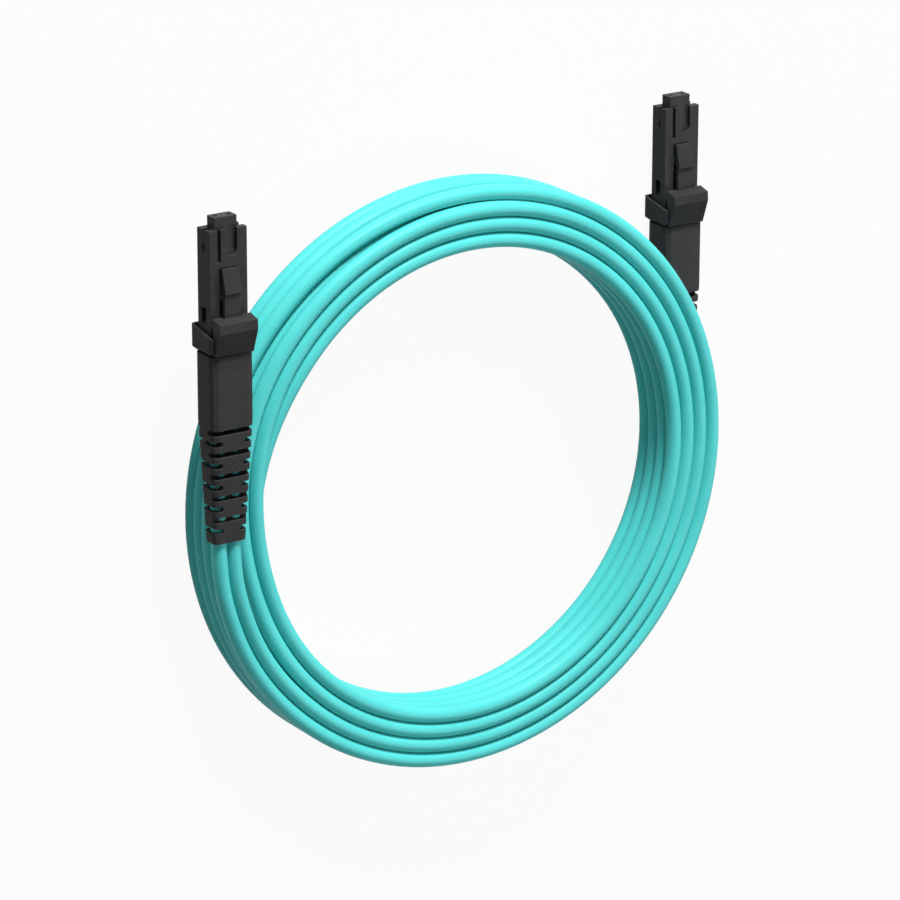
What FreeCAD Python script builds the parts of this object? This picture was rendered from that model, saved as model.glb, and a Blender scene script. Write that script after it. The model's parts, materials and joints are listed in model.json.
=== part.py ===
import FreeCAD, Part
import Sketcher

# Duplex fibre patch cord: a coiled pair of cords with a latched two-fibre plug on each end.
#
# Every plug is drawn in its own frame: X across the plug, Z from its back to its latch side, and
# "depth" runs from the plug's mouth (0) towards the cable, along -Y.  The cord is drawn in the
# frame of its coil.  At the end the whole cord leans: the left edge of the coil touches the ground
# and the right side lies on plug b.  The origin is on the ground, midway between the two plugs.

import math
import os

from FreeCAD import Placement, Rotation, Vector

SIZES = [
    # alias, value (mm or degrees) or formula
    ("cable_dia", 2.8),
    ("cable_pitch", 2.75),
    ("cable_width", "cable_pitch + cable_dia"),
    ("gap_fit", 0.05),
    ("gap_slide", 0.1),
    ("ferrule_width", 4.4),
    ("ferrule_height", 2.5),
    ("ferrule_round", 0.15),
    ("ferrule_reach", 2.0),
    ("ferrule_back", 6.0),
    ("ferrule_travel", 0.8),
    ("flange_width", 5.4),
    ("flange_height", 2.7),
    ("flange_length", 2.2),
    ("guide_dia", 0.7),
    ("guide_pitch", 2.6),
    ("fibre_dia", 0.25),
    ("fibre_pitch", 0.75),
    ("housing_width", 7.4),
    ("housing_height", 4.1),
    ("housing_length", 21.3),
    ("housing_round", 0.15),
    ("cavity_width", 5.7),
    ("cavity_height", 2.9),
    ("key_offset", 0.7),
    ("key_width", 2.06),
    ("key_length", 4.67),
    ("rib_slot_offset", 1.82),
    ("rib_slot_width", 0.76),
    ("rib_slot_length", 5.6),
    ("side_slot_height", 1.4),
    ("side_slot_length", 4.24),
    ("window_back", 7.7),
    ("window_start", "housing_length - window_back"),
    ("window_length", 2.9),
    ("window_height", 1.6),
    ("recess_start", 6.67),
    ("recess_back", 2.3),
    ("recess_width", 3.6),
    ("collar_width", 8.8),
    ("collar_height", 6.9),
    ("collar_overlap", 4.2),
    ("collar_start", "housing_length - collar_overlap"),
    ("collar_slant", 1.4),
    ("collar_reach", 0.55),
    ("collar_end", "housing_length + collar_reach"),
    ("collar_round", 0.7),
    ("collar_bevel", 0.8),
    ("collar_wall", 0.45),
    ("collar_lap", 1.5),
    ("collar_step", "housing_length - collar_lap"),
    ("hinge_inset", 0.3),
    ("trigger_width", 7.4),
    ("trigger_length", 6.6),
    ("trigger_root", "collar_end - hinge_inset"),
    ("trigger_tip", "trigger_root - trigger_length"),
    ("trigger_low", 2.95),
    ("trigger_high", 5.4),
    ("trigger_brow", 0.6),
    ("trigger_brow_high", 5.3),
    ("trigger_crest", 2.25),
    ("trigger_skirt", 3.0),
    ("trigger_heel", 5.5),
    ("trigger_heel_low", 3.25),
    ("trigger_relief", 0.14),
    ("trigger_channel", 3.9),
    ("notch_width", 7.7),
    ("notch_inset", 0.8),
    ("notch_end", "trigger_root - notch_inset"),
    ("latch_width", 3.1),
    ("latch_root", 1.65),
    ("latch_nose", 2.65),
    ("latch_peak", 3.7),
    ("latch_shoulder", 10.87),
    ("latch_top", 3.3),
    ("latch_wall", 0.8),
    ("latch_lap", 2.55),
    ("latch_end", "trigger_tip + latch_lap"),
    ("spring_dia", 2.5),
    ("spring_wire", 0.3),
    ("spring_pitch", 1.3),
    ("seat_start", 8.0),
    ("seat_wall", 0.7),
    ("body_lead", 0.2),
    ("body_start", "window_start - body_lead"),
    ("snap_inset", 0.25),
    ("barrel_round", 1.2),
    ("barrel_length", 5.5),
    ("barrel_end", "collar_end + barrel_length"),
    ("barrel_bore", 1.5),
    ("crimp_start", "collar_end + gap_slide"),
    ("crimp_wall", 0.35),
    ("crimp_grip", 4.0),
    ("crimp_end", "barrel_end + crimp_grip"),
    ("strip_gap", 0.2),
    ("cable_start", "barrel_end + strip_gap"),
    ("cord_inset", 0),
    ("boot_width", 8.3),
    ("boot_height", 6.1),
    ("boot_lift", 0.33),
    ("boot_round", 1.2),
    ("corner_share", 0.293),
    ("boot_straight", 12.15),
    ("boot_taper_start", "collar_end + boot_straight"),
    ("boot_taper", 21.8),
    ("boot_end", "boot_taper_start + boot_taper"),
    ("boot_end_width", 6.3),
    ("boot_end_height", 3.7),
    ("boot_end_round", 0.8),
    ("boot_hollow_width", 6.6),
    ("boot_hollow_height", 4.0),
    ("boot_hollow_end", "crimp_end + strip_gap"),
    ("rib_first", "boot_taper_start + 1.4"),
    ("rib_step", 2.0),
    ("rib_slot", 0.95),
    ("rib_rows", 5),
    ("core_front", 1.25),
    ("core_side", 2.1),
    ("core_side_step", 0.13),
    ("coil_radius", 43.9),
    ("coil_bevel", 0.84),
    ("front_turn_start", 218),
    ("front_turn_end", 440),
    ("second_turn_end", 540),
    ("back_turn_start", -10),
    ("back_turn_end", 310),
    ("tail_slim", 0.2),
    ("tail_a_exit", 11),
    ("tail_a_run", 12),
    ("tail_b_run", 14),
    ("tail_b_exit", 18),
    ("plug_a_x", -52.85),
    ("plug_a_tip", 57.9),
    ("plug_a_lift", 3.6),
    ("plug_b_x", 52.4),
    ("plug_b_tip", 60.3),
    ("plug_b_drop", 3.1),
]


doc = FreeCAD.newDocument("patch_cord")
sheet = doc.addObject("Spreadsheet::Sheet", "Sizes")
for row, (alias, value) in enumerate(SIZES, start=1):
    sheet.set("A%d" % row, alias)
    sheet.set("B%d" % row, "=" + str(value))
    sheet.setAlias("B%d" % row, alias)
doc.recompute()


def size(alias):
    """Value of one cell of the sheet."""
    return float(sheet.get(alias))


def cells(text):
    """Turn the words that name cells of the sheet into references to it."""
    words = []
    for word in text.split():
        words.append("Sizes." + word if word in NAMES else word)
    return " ".join(words)


NAMES = {alias for alias, value in SIZES}
SUBPARTS = []


# --- sketches -----------------------------------------------------------------------------------
# Sections are drawn across the plug (X right, Z up) at a depth; profiles are drawn from the side,
# as depth and Z; plans are drawn from above, as X and depth.

def new_body(name):
    body = doc.addObject("PartDesign::Body", name)
    body.Label = name
    SUBPARTS.append(body)
    return body


def new_sketch(body, plane, offset):
    sketch = body.newObject("Sketcher::SketchObject", body.Name + "_sketch")
    support = [f for f in body.Origin.OriginFeatures if f.Role == plane][0]
    sketch.AttachmentSupport = [(support, "")]
    sketch.MapMode = "FlatFace"
    sketch.setExpression("AttachmentOffset.Base.z", cells(offset))
    return sketch


def value_of(item, text):
    return float(item.evalExpression(cells(text)))


def join(sketch, kind, first, second):
    """Tie the end of one edge to the start of the next."""
    sketch.addConstraint(Sketcher.Constraint(kind, first, 2, second, 1))


def pin_point(sketch, edge, point, across=None, up=None):
    """Hold one point of an edge at a distance from the sketch's origin, bound to the sheet."""
    for kind, text in (("DistanceX", across), ("DistanceY", up)):
        if text is not None:
            constraint = Sketcher.Constraint(kind, -1, 1, edge, point, value_of(sketch, text))
            index = sketch.addConstraint(constraint)
            sketch.setExpression("Constraints[%d]" % index, cells(text))


def outline(sketch, corners):
    """Closed outline of straight edges through corners, each a pair of expressions."""
    points = [Vector(value_of(sketch, a), value_of(sketch, u), 0) for a, u in corners]
    count = len(points)
    for i in range(count):
        sketch.addGeometry(Part.LineSegment(points[i], points[(i + 1) % count]))
    for i in range(count):
        join(sketch, "Coincident", i, (i + 1) % count)
        pin_point(sketch, i, 1, *corners[i])


def rounded(sketch, left, right, low, high, radius):
    """Rectangle with four equal round corners."""
    x0, x1 = value_of(sketch, left), value_of(sketch, right)
    y0, y1 = value_of(sketch, low), value_of(sketch, high)
    r = value_of(sketch, radius)
    centres = [(x1 - r, y0 + r, -90), (x1 - r, y1 - r, 0),
               (x0 + r, y1 - r, 90), (x0 + r, y0 + r, 180)]
    arcs = []
    for cx, cy, start in centres:
        circle = Part.Circle(Vector(cx, cy, 0), Vector(0, 0, 1), r)
        arcs.append(Part.ArcOfCircle(circle, math.radians(start), math.radians(start + 90)))
    for i, arc in enumerate(arcs):
        previous = arcs[i - 1]
        sketch.addGeometry(Part.LineSegment(previous.EndPoint, arc.StartPoint))
        sketch.addGeometry(arc)
    for i in range(8):
        join(sketch, "Tangent", i, (i + 1) % 8)
    for edge in (0, 4):
        sketch.addConstraint(Sketcher.Constraint("Horizontal", edge))
    for edge in (2, 6):
        sketch.addConstraint(Sketcher.Constraint("Vertical", edge))
    for edge in (3, 5, 7):
        sketch.addConstraint(Sketcher.Constraint("Equal", 1, edge))
    index = sketch.addConstraint(Sketcher.Constraint("Radius", 1, r))
    sketch.setExpression("Constraints[%d]" % index, cells(radius))
    pin_point(sketch, 0, 1, up=low)
    pin_point(sketch, 4, 1, up=high)
    pin_point(sketch, 2, 1, across=right)
    pin_point(sketch, 6, 1, across=left)


def finger(sketch, centre, width, near, far, upright):
    """Slot that runs from far to near, where it ends in a half circle."""
    c, half = value_of(sketch, centre), value_of(sketch, width) / 2
    v0, v1 = value_of(sketch, near), value_of(sketch, far)
    way = 1 if v1 > v0 else -1

    def place(u, v):
        return Vector(u, v, 0) if upright else Vector(v, u, 0)

    middle = v0 + way * half
    turn = {(True, 1): 180, (True, -1): 0, (False, 1): 90, (False, -1): 270}[(upright, way)]
    round_end = Part.Circle(place(c, middle), Vector(0, 0, 1), half)
    sketch.addGeometry(Part.LineSegment(place(c - half, v1), place(c - half, middle)))
    sketch.addGeometry(Part.ArcOfCircle(round_end, math.radians(turn), math.radians(turn + 180)))
    sketch.addGeometry(Part.LineSegment(place(c + half, middle), place(c + half, v1)))
    sketch.addGeometry(Part.LineSegment(place(c + half, v1), place(c - half, v1)))
    start, end = (1, 2) if upright == (way > 0) else (2, 1)
    sketch.addConstraint(Sketcher.Constraint("Tangent", 0, 2, 1, start))
    sketch.addConstraint(Sketcher.Constraint("Tangent", 1, end, 2, 1))
    join(sketch, "Coincident", 2, 3)
    join(sketch, "Coincident", 3, 0)
    sides = "Vertical" if upright else "Horizontal"
    for edge in (0, 2):
        sketch.addConstraint(Sketcher.Constraint(sides, edge))
    low = "%s - %s / 2" % (centre, width)
    high = "%s + %s / 2" % (centre, width)
    inner = "%s %s %s / 2" % (near, "+" if way > 0 else "-", width)
    if upright:
        pin_point(sketch, 0, 1, across=low, up=far)
        pin_point(sketch, 3, 1, across=high, up=far)
        pin_point(sketch, 1, 3, up=inner)
    else:
        pin_point(sketch, 0, 1, across=far, up=low)
        pin_point(sketch, 3, 1, across=far, up=high)
        pin_point(sketch, 1, 3, across=inner)


def circle(sketch, across, up, diameter):
    centre = Vector(value_of(sketch, across), value_of(sketch, up), 0)
    sketch.addGeometry(Part.Circle(centre, Vector(0, 0, 1), value_of(sketch, diameter) / 2))
    index = sketch.addConstraint(Sketcher.Constraint("Radius", 0, value_of(sketch, diameter) / 2))
    sketch.setExpression("Constraints[%d]" % index, cells("( %s ) / 2" % diameter))
    pin_point(sketch, 0, 3, across, up)


# --- features -----------------------------------------------------------------------------------

def add(body, sketch, length):
    """Grow material from the sketch along its normal."""
    pad = body.newObject("PartDesign::Pad", body.Name + "_pad")
    pad.Profile = sketch
    pad.setExpression("Length", cells(length))
    sketch.Visibility = False
    doc.recompute()


def cut(body, sketch, length):
    """Cut from the sketch along its normal; a cut that removes nothing is an error."""
    before = body.Shape.Volume
    pocket = body.newObject("PartDesign::Pocket", body.Name + "_pocket")
    pocket.Profile = sketch
    pocket.Reversed = True
    pocket.setExpression("Length", cells(length))
    sketch.Visibility = False
    doc.recompute()
    if body.Shape.Volume > before - 1e-6:
        raise RuntimeError("%s cuts nothing" % pocket.Name)


def section(body, start):
    return new_sketch(body, "XZ_Plane", start)


def profile(body, left):
    return new_sketch(body, "YZ_Plane", left)


def plan(body, low):
    return new_sketch(body, "XY_Plane", low)


def add_block(body, width, low, high, start, end, radius):
    """Prism along the plug with round long edges."""
    sketch = section(body, start)
    half = "( %s ) / 2" % width
    rounded(sketch, "- " + half, half, low, high, radius)
    add(body, sketch, "%s - ( %s )" % (end, start))


def add_box(body, right, high, start, end):
    """Square-edged prism along the plug, centred on its axis."""
    sketch = section(body, start)
    left, low = "- " + right, "- " + high
    outline(sketch, [(left, low), (right, low), (right, high), (left, high)])
    add(body, sketch, "%s - ( %s )" % (end, start))


def loft(body, sections):
    """Straight-sided loft through sketches."""
    feature = body.newObject("PartDesign::AdditiveLoft", body.Name + "_loft")
    feature.Profile = sections[0]
    feature.Sections = sections[1:]
    feature.Ruled = True
    doc.recompute()


def cut_box(body, left, right, low, high, start, end):
    """Square-edged cut along the plug."""
    sketch = section(body, start)
    outline(sketch, [(left, low), (right, low), (right, high), (left, high)])
    cut(body, sketch, "%s - ( %s )" % (end, start))


def cut_hole(body, across, diameter, start, end):
    sketch = section(body, start)
    circle(sketch, across, "0", diameter)
    cut(body, sketch, "%s - ( %s )" % (end, start))


def side_outline(sketch, corners):
    """Outline of depth and height pairs on a profile, where depth runs towards -Y."""
    outline(sketch, [("- ( %s )" % depth, height) for depth, height in corners])


# --- the pieces of a plug -----------------------------------------------------------------------

def make_housing(body):
    """Moulded shell around the ferrule, with its key slots, latch recess and snap windows."""
    half = "housing_height / 2"
    add_block(body, "housing_width", "- " + half, half, "0", "housing_length", "housing_round")
    mouth = "( ferrule_width / 2 + gap_slide )"
    mouth_top = "( ferrule_height / 2 + gap_slide )"
    stop = "ferrule_back - flange_length - gap_slide"
    cut_box(body, "- " + mouth, mouth, "- " + mouth_top, mouth_top, "0", stop)
    cavity = "cavity_width / 2"
    roof = "cavity_height / 2"
    cut_box(body, "- " + cavity, cavity, "- " + roof, roof, stop, "housing_length")
    rib_left = "- rib_slot_offset - rib_slot_width / 2"
    rib_right = "- rib_slot_offset + rib_slot_width / 2"
    cut_box(body, rib_left, rib_right, "ferrule_height / 2", half, "0", "rib_slot_length")
    sketch = plan(body, "ferrule_height / 2")
    finger(sketch, "key_offset", "key_width", "- key_length", "housing_round", True)
    cut(body, sketch, half)
    floor = roof + " - gap_slide"
    rear = "housing_length - recess_back"
    cut_box(body, "- recess_width / 2", "recess_width / 2", floor, half, "recess_start", rear)
    for left in ("- housing_width / 2", "ferrule_width / 2"):
        sketch = profile(body, left)
        slot = "side_slot_height / 2"
        shoulder = "side_slot_length - " + slot
        side_outline(sketch, [("0", "- " + slot), ("0", slot), (shoulder, slot),
                              ("side_slot_length", "0"), (shoulder, "- " + slot)])
        cut(body, sketch, "( housing_width - ferrule_width ) / 2")
    sketch = profile(body, "- housing_width / 2")
    low, high = "- window_height / 2", "window_height / 2"
    side_outline(sketch, [("window_start", low), ("window_start + window_length", low),
                          ("window_start + window_length", high), ("window_start", high)])
    cut(body, sketch, "housing_width")


def make_latch(body):
    """Spring latch, rooted at the front of its recess, with a ramp up to a square shoulder."""
    sketch = profile(body, "- latch_width / 2")
    under = "latch_top - latch_wall"
    front = "recess_start + gap_slide"
    side_outline(sketch, [
        (front, "latch_root"), (front, "latch_nose"), ("latch_shoulder", "latch_peak"),
        ("latch_shoulder", "latch_top"), ("latch_end", "latch_top"), ("latch_end", under),
        ("latch_shoulder", under), ("recess_start + latch_wall * 2", "latch_root")])
    add(body, sketch, "latch_width")


def make_trigger(body):
    """Lever over the end of the latch, hinged on the collar, so that the latch can't snag."""
    sketch = profile(body, "- trigger_width / 2")
    root_low = "collar_height / 2"
    side_outline(sketch, [
        ("trigger_root", root_low), ("trigger_root", root_low + " + latch_wall / 2"),
        ("trigger_tip + trigger_crest", "trigger_high"),
        ("trigger_tip + trigger_brow", "trigger_brow_high"),
        ("trigger_tip", "trigger_low"), ("trigger_tip + trigger_skirt", "trigger_low"),
        ("trigger_tip + trigger_heel", "trigger_heel_low"),
        ("notch_end - gap_slide", root_low + " + trigger_relief")])
    add(body, sketch, "trigger_width")
    half, roof = "trigger_channel / 2", "latch_top + gap_slide"
    cut_box(body, "- " + half, half, "0", roof, "latch_shoulder", "trigger_tip + trigger_skirt")


def make_collar(body):
    """Wide ring behind the housing, with a sloping front rim and a notch for the trigger."""
    half = "collar_height / 2"
    sections = []
    for depth, inset in (("collar_start", "0"), ("collar_end - collar_bevel", "0"),
                         ("collar_end", "collar_bevel")):
        sketch = section(body, depth)
        right, high = "( collar_width / 2 - %s )" % inset, "( collar_height / 2 - %s )" % inset
        rounded(sketch, "- " + right, right, "- " + high, high, "collar_round")
        sections.append(sketch)
    loft(body, sections)
    sketch = profile(body, "- collar_width / 2")
    side_outline(sketch, [("collar_start", "- " + half), ("collar_start + collar_slant", half),
                          ("collar_start", half)])
    cut(body, sketch, "collar_width")
    across = "( collar_width / 2 - collar_wall )"
    over = "( collar_height / 2 - collar_wall )"
    cut_box(body, "- " + across, across, "- " + over, over, "collar_start", "collar_step")
    seat = "( housing_width / 2 + gap_fit )"
    seat_top = "( housing_height / 2 + gap_fit )"
    cut_box(body, "- " + seat, seat, "- " + seat_top, seat_top, "collar_step", "housing_length")
    throat = "( cable_width / 2 + gap_fit )"
    bore = "( cable_dia / 2 + gap_fit )"
    cut_box(body, "- " + throat, throat, "- " + bore, bore, "housing_length", "collar_end")
    notch = "notch_width / 2"
    cut_box(body, "- " + notch, notch, seat_top, half, "collar_start", "notch_end")


def make_ferrule(body):
    """Rectangular two-fibre ferrule with two guide holes and a flange that stops it."""
    half = "ferrule_height / 2"
    face = "- ferrule_reach"
    add_block(body, "ferrule_width", "- " + half, half, face, "ferrule_back", "ferrule_round")
    front = "ferrule_back - flange_length"
    add_box(body, "flange_width / 2", "flange_height / 2", front, "ferrule_back")
    for side in ("- ", ""):
        cut_hole(body, side + "guide_pitch / 2", "guide_dia", face, "ferrule_back")
        cut_hole(body, side + "fibre_pitch / 2", "fibre_dia + gap_fit", face, "ferrule_back")


def make_ferrule_boot(body):
    """Rubber block behind the ferrule that guides the fibres into it."""
    add_box(body, "guide_pitch / 2", "guide_pitch / 4", "ferrule_back", "seat_start")
    for side in ("- ", ""):
        cut_hole(body, side + "fibre_pitch / 2", "fibre_dia + gap_fit", "ferrule_back", "seat_start")


def make_spring_seat(body):
    """Plate between the ferrule's rubber block and its spring."""
    end = "seat_start + seat_wall"
    add_box(body, "flange_width / 2", "( cavity_height / 2 - gap_slide )", "seat_start", end)
    cut_hole(body, "0", "barrel_bore", "seat_start", end)


def make_spring_body(body):
    """Rear body: pushes the spring, snaps into the housing's windows and ends in a crimp barrel."""
    half = "( cavity_height / 2 - gap_slide )"
    nose = "( cavity_width / 2 - gap_slide )"
    add_box(body, nose, half, "body_start", "housing_length")
    add_box(body, "cable_width / 2", half, "housing_length", "collar_end")
    side = "cable_dia / 2"
    add_block(body, "cable_width", "- " + side, side, "collar_end", "barrel_end", "barrel_round")
    sketch = plan(body, "- window_height / 2 + gap_slide")
    reach = "( housing_width / 2 - snap_inset )"
    first, last = "- window_start - gap_slide", "- window_start - window_length + gap_slide"
    outline(sketch, [("- cavity_width / 4", first), ("cavity_width / 4", first),
                     (reach, last), ("- " + reach, last)])
    add(body, sketch, "window_height - 2 * gap_slide")
    cut_hole(body, "0", "barrel_bore", "body_start", "barrel_end")


def make_crimp(body):
    """Flat crimp ring over the barrel and the ends of both jackets."""
    high = "( cable_dia / 2 + gap_fit + crimp_wall )"
    width = "cable_width + 2 * gap_fit + 2 * crimp_wall"
    add_block(body, width, "- " + high, high, "crimp_start", "crimp_end", "barrel_round + crimp_wall")
    sketch = section(body, "crimp_start")
    right, high = "( cable_width / 2 + gap_fit )", "( cable_dia / 2 + gap_fit )"
    rounded(sketch, "- " + right, right, "- " + high, high, "barrel_round")
    cut(body, sketch, "crimp_end - crimp_start")


def boot_section(body, depth, width, height, lift, radius):
    """Rectangle whose four corners are each rounded by two flats."""
    sketch = section(body, depth)
    shave = "%s * corner_share" % radius
    corners = []
    for across, up in (("", "- "), ("", ""), ("- ", ""), ("- ", "- ")):
        steps = [("0", radius), (shave, shave), (radius, "0")]
        if across != up:
            steps.reverse()
        for inward, down in steps:
            x = "%s( %s / 2 - %s )" % (across, width, inward)
            corners.append((x, "%s %s ( %s / 2 - %s )" % (lift, up or "+ ", height, down)))
    outline(sketch, corners)
    return sketch


def cut_slot(body, sketch, depth, near, way, upright, through):
    """Slot at a depth, from near the axis out through one side; flats ease its blind end."""
    corners = []
    for edge, inward in (("- ", ""), ("", "- ")):
        side = "- ( %s ) %s rib_slot / 2" % (depth, edge or "+ ")
        eased = "%s %s rib_slot * corner_share" % (side, inward or "+ ")
        ends = [(side, way + "boot_width"), (side, "%s( %s + rib_slot * corner_share )" % (way, near)),
                (eased, "%s( %s )" % (way, near))]
        corners += reversed(ends) if inward else ends
    outline(sketch, corners if upright else [(v, u) for u, v in corners])
    cut(body, sketch, through)


def make_boot(body):
    """Strain relief: a tapering sleeve whose slots leave bridges in turn at the sides and the faces."""
    sections = [
        boot_section(body, "collar_end", "boot_width", "boot_height", "boot_lift", "boot_round"),
        boot_section(body, "boot_taper_start", "boot_width", "boot_height", "boot_lift", "boot_round"),
        boot_section(body, "boot_end", "boot_end_width", "boot_end_height", "0", "boot_end_round")]
    loft(body, sections)
    across, over = "boot_hollow_width / 2", "boot_hollow_height / 2"
    cut_box(body, "- " + across, across, "- " + over, over, "collar_end", "boot_hollow_end")
    for side in ("- ", ""):
        across = side + "cable_pitch / 2"
        cut_hole(body, across, "cable_dia + 2 * gap_fit", "boot_hollow_end", "boot_end")
    for row in range(int(size("rib_rows"))):
        depth = "rib_first + %d * rib_step" % (2 * row)
        side = "core_side - %d * core_side_step" % row
        for way in ("", "- "):
            sketch = profile(body, "- boot_width / 2")
            cut_slot(body, sketch, depth, "core_front", way, True, "boot_width")
            sketch = plan(body, "- boot_height")
            cut_slot(body, sketch, depth + " + rib_step", side, way, False, "boot_height * 2")


def make_spring(name):
    """Coil spring between its seat and the rear body."""
    start = "( seat_start + seat_wall + gap_fit + spring_wire / 2 )"
    end = "( body_start - gap_fit - spring_wire / 2 )"
    radius = "( spring_dia - spring_wire ) / 2"
    helix = doc.addObject("Part::Helix", name + "_path")
    bind(helix, Pitch="spring_pitch", Height="%s - %s" % (end, start), Radius=radius)
    wire = doc.addObject("Part::RegularPolygon", name + "_wire")
    wire.Polygon = 4
    bind(wire, Circumradius="spring_wire / 2")
    wire.Placement = Placement(Vector(value_of(wire, radius), 0, 0), AWAY)
    spring = doc.addObject("Part::Sweep", name)
    spring.Sections = [wire]
    spring.Spine = (helix, [])
    spring.Solid = True
    spring.Frenet = True
    keep(spring, name)
    spring.Placement = Placement(Vector(0, -value_of(spring, start), 0), AWAY)
    return spring


def bind(item, **sizes):
    for key, text in sizes.items():
        item.setExpression(key, cells(text))


def keep(item, name):
    item.Label = name
    SUBPARTS.append(item)


def rod(name, diameter, start, end, across):
    """Round rod along the plug, from one depth to another."""
    item = doc.addObject("Part::Cylinder", name)
    bind(item, Radius="( %s ) / 2" % diameter, Height="%s - ( %s )" % (end, start))
    item.Placement = Placement(Vector(value_of(item, across), -value_of(item, start), 0), AWAY)
    return item


def make_fibres(name):
    """The two glass fibres, from the ferrule's face to the slack behind the barrel."""
    end = "barrel_end - ferrule_travel"
    rods = [rod("%s_%d" % (name, i), "fibre_dia", "- ferrule_reach", end, side + "fibre_pitch / 2")
            for i, side in enumerate(("- ", ""))]
    pair = doc.addObject("Part::Compound", name)
    pair.Links = rods
    keep(pair, name)
    return pair


def make_cable_end(name):
    """Straight end of the joined pair of cords inside the boot."""
    end = "boot_end - cord_inset"
    pair = doc.addObject("Part::Fuse", name)
    pair.Base, pair.Tool = [
        rod("%s_%d" % (name, i), "cable_dia", "cable_start", end, side + "cable_pitch / 2")
        for i, side in enumerate(("- ", ""))]
    keep(pair, name)
    return pair


# --- the cord -----------------------------------------------------------------------------------
# The coil is four layers of four cords.  Its front and back outer pairs are part turns.

def cell(radial, layer):
    """Radius and height of the middle of a cell: radial 0 is innermost, layer 0 is at the back."""
    dia = size("cable_dia")
    return size("coil_radius") + radial * dia, (layer + 0.5) * dia


def ring(corners, start, sweep):
    """Solid of revolution of radius and height corners about the coil's axis."""
    points = [Vector(radius, 0, height) for radius, height in corners]
    face = Part.Face(Part.makePolygon(points + points[:1]))
    face.rotate(Vector(0, 0, 0), Vector(0, 0, 1), start)
    return face.revolve(Vector(0, 0, 0), Vector(0, 0, 1), sweep)


def make_coil(name):
    dia = size("cable_dia")
    bevel = size("coil_bevel")
    inner = cell(0, 0)[0] - dia / 2
    outer = cell(3, 0)[0] + dia / 2
    step, pair = outer - dia, outer - 2 * dia
    top = 4 * dia
    full = [(inner + bevel, 0), (pair, 0), (pair, dia), (outer, dia), (outer, top - dia),
            (pair, top - dia), (pair, top), (inner + bevel, top), (inner, top - bevel), (inner, bevel)]
    front = [(step, top - dia), (outer, top - dia), (outer, top - bevel), (outer - bevel, top),
             (step, top)]
    second = [(pair, top - dia), (step, top - dia), (step, top), (pair, top)]
    back = [(pair, 0), (outer - bevel, 0), (outer, bevel), (outer, dia), (pair, dia)]
    solid = ring(full, 0, 360)
    for corners, start, end in ((front, "front_turn_start", "front_turn_end"),
                                (second, "front_turn_start", "second_turn_end"),
                                (back, "back_turn_start", "back_turn_end")):
        solid = solid.fuse(ring(corners, size(start), size(end) - size(start)))
    coil = doc.addObject("Part::Feature", name)
    coil.Shape = solid.removeSplitter()
    keep(coil, name)
    return coil


def on_turn(radial, layer, degrees):
    """Point of a turn and the way the cable runs there."""
    radius, height = cell(radial, layer)
    angle = math.radians(degrees)
    point = Vector(radius * math.cos(angle), radius * math.sin(angle), height)
    return point, Vector(-math.sin(angle), math.cos(angle), 0)


BEND_SHARE = 0.45


def flat_face(start, slim):
    """Outline of the pair of cords at the start of a tail, with half-round sides."""
    radius = size("cable_dia") / 2 - slim
    half = size("cable_pitch") / 2
    low, high = Vector(0, 0, -radius), Vector(0, 0, radius)
    left, right = start - Vector(half, 0, 0), start + Vector(half, 0, 0)
    edges = [Part.makeLine(left + low, right + low),
             Part.Arc(right + low, right + Vector(radius, 0, 0), right + high).toShape(),
             Part.makeLine(right + high, left + high),
             Part.Arc(left + high, left - Vector(radius, 0, 0), left + low).toShape()]
    return Part.Face(Part.Wire(edges))


def tube(name, route):
    """Tail of the pair on straight runs; a bend takes a share of the shorter run beside it."""
    face = flat_face(route[0], size("tail_slim"))
    solids = []
    start = route[0]
    for before, corner, after in zip(route, route[1:], route[2:]):
        into = (corner - before).normalize()
        out = (after - corner).normalize()
        turn = into.getAngle(out)
        reach = BEND_SHARE * min((corner - before).Length, (after - corner).Length)
        first = corner - into * reach
        axis = into.cross(out).normalize()
        centre = first + axis.cross(into) * (reach / math.tan(turn / 2))
        solids.append(face.extrude(first - start))
        face.translate(first - start)
        solids.append(face.revolve(centre, axis, math.degrees(turn)))
        face.rotate(centre, axis, math.degrees(turn))
        start = corner + out * reach
    solids.append(face.extrude(route[-1] - start))
    solid = solids[0].fuse(solids[1:]).removeSplitter()
    if len(solid.Solids) != 1:
        raise RuntimeError("%s isn't one solid" % name)
    item = doc.addObject("Part::Feature", name)
    item.Shape = solid
    keep(item, name)
    return item


def make_tail_a(name, mouth):
    """From the boot of plug a down on to the coil's front outer pair."""
    end, way = on_turn(2.5, 3, size("front_turn_start"))
    bend = Vector(mouth.x, mouth.y - size("tail_a_exit"), mouth.z)
    return tube(name, [mouth, bend, end - way * size("tail_a_run"), end])


def make_tail_b(name, mouth):
    """From the boot of plug b, under the coil, to the coil's back outer pair."""
    start, way = on_turn(2.5, 0, size("back_turn_end"))
    bend = Vector(mouth.x, mouth.y - size("tail_b_exit"), mouth.z)
    return tube(name, [mouth, bend, start + way * size("tail_b_run"), start])


# --- the whole cord -----------------------------------------------------------------------------

AWAY = Rotation(Vector(1, 0, 0), 90)

BODIES = {
    "plug_housing": make_housing,
    "latch_arm": make_latch,
    "release_trigger": make_trigger,
    "rear_collar": make_collar,
    "ferrule": make_ferrule,
    "ferrule_boot": make_ferrule_boot,
    "spring_seat": make_spring_seat,
    "spring_body": make_spring_body,
    "crimp_ring": make_crimp,
    "strain_boot": make_boot,
}


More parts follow.
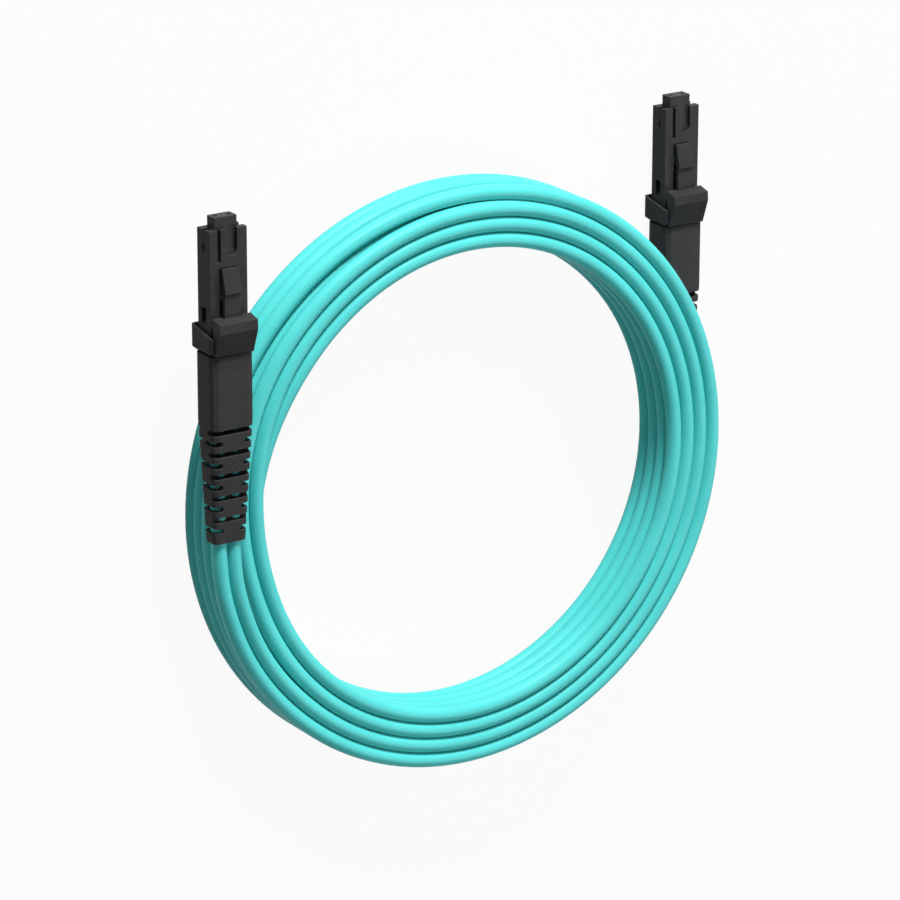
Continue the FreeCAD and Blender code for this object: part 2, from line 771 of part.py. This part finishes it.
def make_plug(letter, mouth):
    """All pieces of one plug, moved so that its mouth lies at a point of the coil's frame."""
    pieces = []
    for name, build in BODIES.items():
        body = new_body("%s_%s" % (name, letter))
        build(body)
        pieces.append(body)
    pieces.append(make_spring("ferrule_spring_" + letter))
    pieces.append(make_fibres("fibre_pair_" + letter))
    pieces.append(make_cable_end("cable_end_" + letter))
    doc.recompute()
    for piece in pieces:
        piece.Placement = Placement(mouth, Rotation()).multiply(piece.Placement)
    return pieces


def leaning_angle():
    """Lean at which the coil's left edge and the collar of plug b both touch the ground."""
    left = cell(3, 0)[0] + size("cable_dia") / 2 - size("coil_bevel")
    corner = size("collar_width") / 2 - size("collar_round")
    run = left + size("plug_b_x") - corner
    rise = size("plug_b_drop") + size("collar_height") / 2 - size("collar_round")
    return math.atan2(rise, run) + math.asin(size("collar_round") / math.hypot(run, rise)), left


def main():
    reach = size("ferrule_reach")
    front_layer = cell(0, 3)[1]
    mouth_a = Vector(size("plug_a_x"), size("plug_a_tip") - reach, front_layer + size("plug_a_lift"))
    mouth_b = Vector(size("plug_b_x"), size("plug_b_tip") - reach, -size("plug_b_drop"))
    plugs = make_plug("a", mouth_a) + make_plug("b", mouth_b)
    inside = Vector(0, size("cord_inset") - size("boot_end"), 0)
    cords = [make_coil("cable_coil")]
    cords.append(make_tail_a("cable_tail_a", mouth_a + inside))
    cords.append(make_tail_b("cable_tail_b", mouth_b + inside))
    angle, left = leaning_angle()
    turn = Rotation(Vector(0, 1, 0), -math.degrees(angle))
    lean = Placement(Vector(0, 0, left * math.sin(angle)), turn)
    for piece in plugs + cords:
        piece.Placement = lean.multiply(piece.Placement)
    doc.recompute()
    box = FreeCAD.BoundBox()
    for piece in plugs:
        box.add(piece.Shape.BoundBox)
    centre = Placement(Vector(-box.Center.x, -box.Center.y, 0), Rotation())
    print("lean %.6f rise %.6f centre %.6f %.6f" % (
        math.degrees(angle), lean.Base.z, box.Center.x, box.Center.y))
    for piece in plugs + cords:
        piece.Placement = centre.multiply(piece.Placement)
    doc.recompute()
    export()


def export():
    for item in doc.Objects:
        if "Invalid" in item.State or "Error" in item.State:
            raise RuntimeError("%s failed" % item.Name)
    for item in SUBPARTS:
        if item.Shape.isNull() or not item.Shape.isValid():
            raise RuntimeError("%s has no valid shape" % item.Label)
    os.makedirs("parts", exist_ok=True)
    for item in SUBPARTS:
        item.Shape.exportStep(os.path.join("parts", item.Label + ".step"))


main()
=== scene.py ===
import json
import math

import bpy
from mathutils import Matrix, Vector


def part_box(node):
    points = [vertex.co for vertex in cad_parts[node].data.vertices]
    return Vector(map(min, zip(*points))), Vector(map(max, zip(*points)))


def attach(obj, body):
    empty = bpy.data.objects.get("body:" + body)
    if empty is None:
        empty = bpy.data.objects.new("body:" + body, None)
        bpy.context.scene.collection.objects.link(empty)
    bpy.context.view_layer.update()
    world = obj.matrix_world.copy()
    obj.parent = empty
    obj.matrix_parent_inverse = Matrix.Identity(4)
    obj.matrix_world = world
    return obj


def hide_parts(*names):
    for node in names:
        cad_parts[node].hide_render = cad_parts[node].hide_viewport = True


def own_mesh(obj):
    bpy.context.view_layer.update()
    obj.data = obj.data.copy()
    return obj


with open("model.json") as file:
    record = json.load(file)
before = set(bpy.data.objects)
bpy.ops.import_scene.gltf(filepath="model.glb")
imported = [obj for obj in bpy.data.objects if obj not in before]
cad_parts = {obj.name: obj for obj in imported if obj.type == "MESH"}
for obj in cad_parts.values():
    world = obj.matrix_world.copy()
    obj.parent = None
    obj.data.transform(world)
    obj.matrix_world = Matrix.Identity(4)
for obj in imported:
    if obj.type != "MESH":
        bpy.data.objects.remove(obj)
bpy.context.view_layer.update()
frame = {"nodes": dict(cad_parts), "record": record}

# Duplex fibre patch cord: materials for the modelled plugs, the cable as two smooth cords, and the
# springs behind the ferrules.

MM = 0.001


# --- materials ----------------------------------------------------------------------------------

class Nodes:
    """A new node material with its Principled shader and a few short-cuts."""

    def __init__(self, name):
        self.material = bpy.data.materials.new(name)
        self.material.use_nodes = True
        self.tree = self.material.node_tree
        self.shader = self.tree.nodes["Principled BSDF"]

    def add(self, kind, **values):
        """New node; each value goes to its input of that name, or else to its setting."""
        node = self.tree.nodes.new(kind)
        for key, value in values.items():
            if key in node.inputs:
                node.inputs[key].default_value = value
            else:
                setattr(node, key, value)
        return node

    def link(self, source, target):
        self.tree.links.new(source, target)

    def set(self, socket, value):
        """An even value on one of the shader's own sockets."""
        self.shader.inputs[socket].default_value = value

    def feed(self, socket, source):
        """A value that changes over the surface, for one of the shader's sockets."""
        self.link(source, self.shader.inputs[socket])

    def noise(self, scale, detail=3.0, stretch=None):
        """Noise over the object's surface; the scale is in waves a metre."""
        noise = self.add("ShaderNodeTexNoise", Scale=scale, Detail=detail)
        where = self.add("ShaderNodeTexCoord").outputs["Object"]
        if stretch:
            mapping = self.add("ShaderNodeMapping", Scale=stretch)
            self.link(where, mapping.inputs["Vector"])
            where = mapping.outputs["Vector"]
        self.link(where, noise.inputs["Vector"])
        return noise.outputs["Fac"]

    def ramp(self, factor, low, high, start=0.35, end=0.65):
        """Blend between two colours or two grey values as the factor rises."""
        ramp = self.add("ShaderNodeValToRGB")
        stops = zip(ramp.color_ramp.elements, (start, end), (low, high))
        for element, position, value in stops:
            element.position = position
            colour = value if isinstance(value, tuple) else (value, value, value)
            element.color = (*colour, 1.0)
        self.link(factor, ramp.inputs["Fac"])
        return ramp.outputs["Color"]

    def bump(self, height, strength, distance, edge_radius=0.0):
        """Bump from a height, on edges that look rounded to a radius."""
        bump = self.add("ShaderNodeBump", Strength=strength, Distance=distance)
        self.link(height, bump.inputs["Height"])
        if edge_radius:
            bevel = self.add("ShaderNodeBevel", Radius=edge_radius, samples=6)
            self.link(bevel.outputs["Normal"], bump.inputs["Normal"])
        self.feed("Normal", bump.outputs["Normal"])


def times(colour, factor):
    """The colour, so many times as bright."""
    return tuple(c * factor for c in colour)


# GLOSSIER and DULLER are how far the roughness goes below and above its value.
PLASTIC_SHINE = 0.03
FLOW_TINT = 1.2
# Convex edges are painted paler as a highlight: so many times the colour, out to so many edge
# radii.
EDGE_HIGHLIGHT = 1.7
EDGE_REACH = 1.5
GLOSSIER = 0.04
DULLER = 0.05
GRAIN_DEPTH = 0.00002


def moulded_plastic(name, colour, roughness, grain, edge_radius):
    """Moulded plastic: fine spark-eroded grain, faint flow shading, soft edges and painted edge
    highlights.
    """
    m = Nodes(name)
    m.set("Specular IOR Level", PLASTIC_SHINE)
    flow = m.noise(scale=260.0, detail=4.0)
    # Inward ambient occlusion finds the convex edges, which get the paler colour: a painted
    # highlight.
    inward = m.add("ShaderNodeAmbientOcclusion", samples=8, inside=True,
                   Distance=edge_radius * EDGE_REACH)
    mix = m.add("ShaderNodeMix", data_type="RGBA")
    m.link(m.ramp(inward.outputs["AO"], 1.0, 0.0, start=0.5, end=0.95), mix.inputs["Factor"])
    m.link(m.ramp(flow, colour, times(colour, FLOW_TINT)), mix.inputs["A"])
    mix.inputs["B"].default_value = (*times(colour, EDGE_HIGHLIGHT), 1.0)
    m.feed("Base Color", mix.outputs["Result"])
    sheen = m.noise(scale=900.0, detail=2.0)
    m.feed("Roughness", m.ramp(sheen, roughness - GLOSSIER, roughness + DULLER))
    m.bump(m.noise(scale=9000.0, detail=2.0), grain, GRAIN_DEPTH, edge_radius)
    return m.material


JACKET_SHINE = 0.16
JACKET_DEEP = (0.077, 0.565, 0.553)
JACKET_PALE = (0.086, 0.605, 0.588)
SKIN_STRENGTH = 0.10
SKIN_DEPTH = 0.00004


def jacket_plastic(name):
    """Extruded satin jacket: a nearly even colour with a very fine, slightly matt skin."""
    m = Nodes(name)
    m.set("Specular IOR Level", JACKET_SHINE)
    m.feed("Base Color", m.ramp(m.noise(scale=55.0, detail=2.0), JACKET_DEEP, JACKET_PALE))
    m.feed("Roughness", m.ramp(m.noise(scale=700.0), 0.42, 0.50))
    m.bump(m.noise(scale=2600.0), SKIN_STRENGTH, SKIN_DEPTH)
    return m.material


LINE_SHADE = 0.8
LINE_STRETCH = (1.0, 30.0, 1.0)


def brushed_metal(name, colour):
    """Metal with fine drawn lines."""
    m = Nodes(name)
    m.set("Metallic", 1.0)
    lines = m.noise(scale=400.0, detail=4.0, stretch=LINE_STRETCH)
    m.feed("Base Color", m.ramp(lines, times(colour, LINE_SHADE), colour))
    m.feed("Roughness", m.ramp(lines, 0.28, 0.42))
    return m.material


GLASS_DEEP = (0.85, 0.9, 0.92)
GLASS_PALE = (0.95, 0.97, 0.98)


def fibre_glass(name):
    """Clear glass with a faint tint."""
    m = Nodes(name)
    m.set("Transmission Weight", 0.85)
    m.set("IOR", 1.46)
    m.set("Roughness", 0.08)
    m.feed("Base Color", m.ramp(m.noise(scale=300.0), GLASS_DEEP, GLASS_PALE))
    return m.material


# One material for each slot of the record.  The moulded plastics give their colour, roughness,
# strength of grain, and radius of edges in metres.
MATERIALS = {
    "black_plastic": moulded_plastic(
        "black_plastic", (0.031, 0.031, 0.032), 0.40, 0.25, 0.00010),
    "black_rubber": moulded_plastic(
        "black_rubber", (0.033, 0.033, 0.034), 0.44, 0.30, 0.00012),
    "ferrule_plastic": moulded_plastic(
        "ferrule_plastic", (0.032, 0.032, 0.033), 0.36, 0.10, 0.00006),
    "jacket": jacket_plastic("jacket"),
    "crimp_metal": brushed_metal("crimp_metal", (0.62, 0.62, 0.60)),
    # The spring steel is near black, so the spring seen through the latch gap stays dark: painted
    # shade.
    "spring_steel": brushed_metal("spring_steel", (0.10, 0.10, 0.105)),
    "fibre_glass": fibre_glass("fibre_glass"),
}


def dress_cad():
    """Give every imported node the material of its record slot."""
    for part in frame["record"]["subparts"]:
        node = frame["nodes"][part["node"]]
        node.data.materials.clear()
        node.data.materials.append(MATERIALS[part["material_slot"]])


# --- the cords ----------------------------------------------------------------------------------
# The coil's own frame, in millimetres: Z is its axis, z = 0 its back plane, and the plugs lie along
# +Y.  The whole cord leans by LEAN about +Y and rests on its left edge and on plug b.

CORD = 2.8  # a jacket's diameter
PAIR_PITCH = 2.75  # between the two cords in a boot
INNER_TURN = 43.9  # radius of the innermost turn
FRONT_LAYER = 3.5  # middle of the front layer, in cord diameters
LEAN = math.radians(3.690935)
RISE = 3.402832  # from the ground to the middle of the back plane
CENTRE = (-0.556062, 30.2)  # of the whole part, across and along
STEP = 12.0  # degrees from one control point to the next


def to_frame(point):
    """From the coil's frame in millimetres to the part's frame in metres."""
    x, y, z = point
    across = x * math.cos(LEAN) - z * math.sin(LEAN) - CENTRE[0]
    up = x * math.sin(LEAN) + z * math.cos(LEAN) + RISE
    return Vector((across * MM, (y - CENTRE[1]) * MM, up * MM))


# Both cords start on the front outer turns and end on the back outer turns.  Each stretch is its
# layer from the front, its turn from the inside, the angle where it ends and how long the change
# to the next stretch takes, in degrees.
COIL_START = 186.0
COIL_END = 2830.0
OUTER_CORD = [
    (0, 3, 458, 90), (1, 3, 750, 30), (1, 2, 1102, 30), (1, 1, 1454, 30), (2, 1, 1806, 30),
    (2, 2, 2158, 30), (2, 3, 2510, 30), (3, 3, COIL_END, 30),
]
INNER_CORD = [
    (0, 2, 532, 60), (0, 1, 889, 60), (0, 0, 1246, 60), (1, 0, 1598, 30), (2, 0, 1950, 30),
    (3, 0, 2302, 30), (3, 1, 2510, 30), (3, 2, COIL_END, 30),
]

# Below the boot of plug a the pair comes down on to the coil over LANDING degrees, from so far out
# and so far in front of its turns.
BOOT_ANGLE = 184.0
LANDING = 44.0
BOOT_OUT = 1.95
BOOT_LIFT = 3.6

# The plugs' mouths, the way from a mouth to its boot's end, and the straight runs at the boots and
# off the coil.
MOUTH_A = Vector((-52.85, 55.9, 13.4))
MOUTH_B = Vector((52.4, 58.3, -3.1))
BOOT_END = 55.8
RUN_A = 4
RUN_B = 18
RUN_OFF = 14


def smooth(t):
    """Eased share: 0 up to t = 0, and 1 from t = 1 on."""
    t = min(1.0, max(0.0, t))
    return t * t * (3 - 2 * t)


def cell(stretches, angle):
    """Layer and turn at an angle, easing from each stretch to the next."""
    layer, turn, end, change = stretches[0]
    for next_layer, next_turn, next_end, next_change in stretches[1:]:
        share = smooth((angle - end) / change + 0.5)
        layer += (next_layer - layer) * share
        turn += (next_turn - turn) * share
        if share < 1.0:
            break
        end, change = next_end, next_change
    return layer, turn


def coil_point(stretches, angle):
    """Control point of a cord's spline at an angle, set out so that the spline has the radius."""
    layer, turn = cell(stretches, angle)
    apart = 1.0 - smooth((angle - BOOT_ANGLE) / LANDING)
    radius = (INNER_TURN + turn * CORD) / math.cos(math.radians(STEP / 2)) + apart * BOOT_OUT
    a = math.radians(angle)
    height = (FRONT_LAYER - layer) * CORD + apart * BOOT_LIFT
    return (radius * math.cos(a), radius * math.sin(a), height)


def coil_end(turn):
    """Where a cord leaves the back layer, and the way it runs there."""
    radius = INNER_TURN + turn * CORD
    a = math.radians(COIL_END)
    point = Vector((radius * math.cos(a), radius * math.sin(a), CORD / 2))
    return point, Vector((-math.sin(a), math.cos(a), 0.0))


def cord_route(stretches, turn, side):
    """Control points of one cord, from the boot of plug a to that of plug b."""
    start = MOUTH_A - Vector((side * PAIR_PITCH / 2, BOOT_END, 0))
    end = MOUTH_B - Vector((-side * PAIR_PITCH / 2, BOOT_END, 0))
    off, away = coil_end(turn)
    route = [start, start - Vector((0, RUN_A, 0))]
    for i in range(int((COIL_END - COIL_START) / STEP)):
        route.append(coil_point(stretches, COIL_START + STEP * (i + 0.5)))
    route += [off + away * RUN_OFF, end - Vector((0, RUN_B, 0)), end]
    return [to_frame(point) for point in route]


def round_curve(name, points, diameter, around, along):
    """Smooth round curve with the points as its control points; around and along are its steps."""
    curve = bpy.data.curves.new(name, "CURVE")
    curve.dimensions = "3D"
    curve.bevel_depth = diameter / 2 * MM
    curve.bevel_resolution = around
    curve.resolution_u = along
    curve.use_fill_caps = True
    spline = curve.splines.new("NURBS")
    spline.points.add(len(points) - 1)
    for target, point in zip(spline.points, points):
        target.co = (*point, 1.0)
    spline.order_u = 3
    spline.use_endpoint_u = True
    return bpy.data.objects.new(name, curve)


def make_cord(name, route):
    """One cord from boot to boot."""
    cord = round_curve(name, route, CORD, around=6, along=5)
    bpy.context.collection.objects.link(cord)
    cord.data.materials.append(MATERIALS["jacket"])
    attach(cord, "cord")
    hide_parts("cable_coil", "cable_tail_a", "cable_tail_b")


# --- the springs behind the ferrules ------------------------------------------------------------
# In millimetres; SPRING_CLOSED turns lie flat at each end.

SPRING_RADIUS = 1.1
SPRING_WIRE = 0.3
SPRING_TURNS = 4.5
SPRING_CLOSED = 0.75
SPRING_STEPS = 12


def make_spring(letter):
    """Spring with closed ends, between the seat and the rear body."""
    node = "ferrule_spring_" + letter
    low, high = (Vector(corner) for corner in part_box(node))
    middle = (low + high) / 2
    radius = SPRING_RADIUS / math.cos(math.pi / SPRING_STEPS) * MM
    rise = high.y - low.y - SPRING_WIRE * MM
    points = []
    for i in range(int(SPRING_TURNS * SPRING_STEPS) + 1):
        turns = i / SPRING_STEPS
        share = (turns - SPRING_CLOSED) / (SPRING_TURNS - 2 * SPRING_CLOSED)
        along = low.y + SPRING_WIRE / 2 * MM + rise * min(1.0, max(0.0, share))
        a = 2 * math.pi * turns
        points.append((middle.x + radius * math.cos(a), along, middle.z + radius * math.sin(a)))
    curve = round_curve(node + "_curve", points, SPRING_WIRE, around=2, along=3)
    mesh = bpy.data.meshes.new_from_object(curve)
    bpy.data.objects.remove(curve)
    mesh.materials.clear()
    mesh.materials.append(MATERIALS["spring_steel"])
    spring = bpy.data.objects.new("coil_spring_" + letter, mesh)
    bpy.context.collection.objects.link(spring)
    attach(spring, "cord")
    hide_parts(node)
    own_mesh(spring)


# --- camera, floor and light --------------------------------------------------------------------

CAMERA_PLACE = (-0.50558, 0.25963, 0.68210)
CAMERA_TURN = (-18.8362, -36.7626, 0.1773)
FLOOR_REACH = 3.0
FLOOR_GREY = 0.55
FLOOR_GLOW = 0.94
WORLD_LIGHT = 0.20


def make_camera():
    """Long lens, high over the cord and to its left."""
    camera = bpy.data.objects.new("camera", bpy.data.cameras.new("camera"))
    camera.data.lens = 200.0
    camera.data.sensor_width = 36.0
    camera.data.clip_start = 0.05
    camera.data.clip_end = 10.0
    camera.location = CAMERA_PLACE
    camera.rotation_euler = [math.radians(a) for a in CAMERA_TURN]
    bpy.context.collection.objects.link(camera)
    bpy.context.scene.camera = camera


def seen_or_mirrored(tree):
    """1 on a ray from the camera, or one that glossy or clear things send on, and otherwise 0."""
    path = tree.nodes.new("ShaderNodeLightPath")
    total = path.outputs["Is Camera Ray"]
    for name in ("Is Glossy Ray", "Is Transmission Ray"):
        more = tree.nodes.new("ShaderNodeMath")
        more.operation = "MAXIMUM"
        tree.links.new(total, more.inputs[0])
        tree.links.new(path.outputs[name], more.inputs[1])
        total = more.outputs["Value"]
    return total


def make_floor():
    """Pale floor: nearly white where it is seen, and plain grey for the light it sends back."""
    mesh = bpy.data.meshes.new("floor")
    reach = FLOOR_REACH
    corners = [(-reach, -reach, 0), (reach, -reach, 0), (reach, reach, 0), (-reach, reach, 0)]
    mesh.from_pydata(corners, [], [(0, 1, 2, 3)])
    floor = bpy.data.objects.new("floor", mesh)
    bpy.context.collection.objects.link(floor)
    m = Nodes("floor")
    m.set("Base Color", (FLOOR_GREY, FLOOR_GREY, FLOOR_GREY, 1.0))
    m.set("Roughness", 0.9)
    m.set("Specular IOR Level", 0.0)
    white = m.add("ShaderNodeEmission", Strength=1.0)
    share = m.add("ShaderNodeMath", operation="MULTIPLY")
    share.inputs[1].default_value = FLOOR_GLOW
    m.link(seen_or_mirrored(m.tree), share.inputs[0])
    mix = m.add("ShaderNodeMixShader")
    m.link(share.outputs["Value"], mix.inputs["Fac"])
    m.link(m.shader.outputs["BSDF"], mix.inputs[1])
    m.link(white.outputs["Emission"], mix.inputs[2])
    m.link(mix.outputs["Shader"], m.tree.nodes["Material Output"].inputs["Surface"])
    mesh.materials.append(m.material)


def make_world():
    """White where it is seen or mirrored, and a faint even light elsewhere."""
    world = bpy.data.worlds.new("studio")
    bpy.context.scene.world = world
    world.use_nodes = True
    tree = world.node_tree
    background = tree.nodes["Background"]
    background.inputs["Color"].default_value = (1.0, 1.0, 1.0, 1.0)
    strength = tree.nodes.new("ShaderNodeMapRange")
    strength.inputs["To Min"].default_value = WORLD_LIGHT
    strength.inputs["To Max"].default_value = 1.0
    tree.links.new(seen_or_mirrored(tree), strength.inputs["Value"])
    tree.links.new(strength.outputs["Result"], background.inputs["Strength"])


LIGHT_TARGET = Vector((0.0, -0.02, 0.0))


def make_area(name, place, size, power):
    """Round soft lamp that looks at the object."""
    light = bpy.data.lights.new(name, "AREA")
    light.shape = "DISK"
    light.size = size
    light.energy = power
    lamp = bpy.data.objects.new(name, light)
    lamp.location = place
    aim = LIGHT_TARGET - Vector(place)
    lamp.rotation_euler = aim.to_track_quat("-Z", "Y").to_euler()
    bpy.context.collection.objects.link(lamp)


make_camera()
make_cord("outer_cord", cord_route(OUTER_CORD, turn=3, side=1))
make_cord("inner_cord", cord_route(INNER_CORD, turn=2, side=-1))
dress_cad()
make_spring("a")
make_spring("b")
make_floor()
make_world()
make_area("key", place=(0.0, 1.15, 0.50), size=0.4, power=24.0)
make_area("fill", place=(0.70, -0.40, 0.95), size=0.6, power=5.4)

scene = bpy.context.scene
scene.view_settings.view_transform = "Standard"
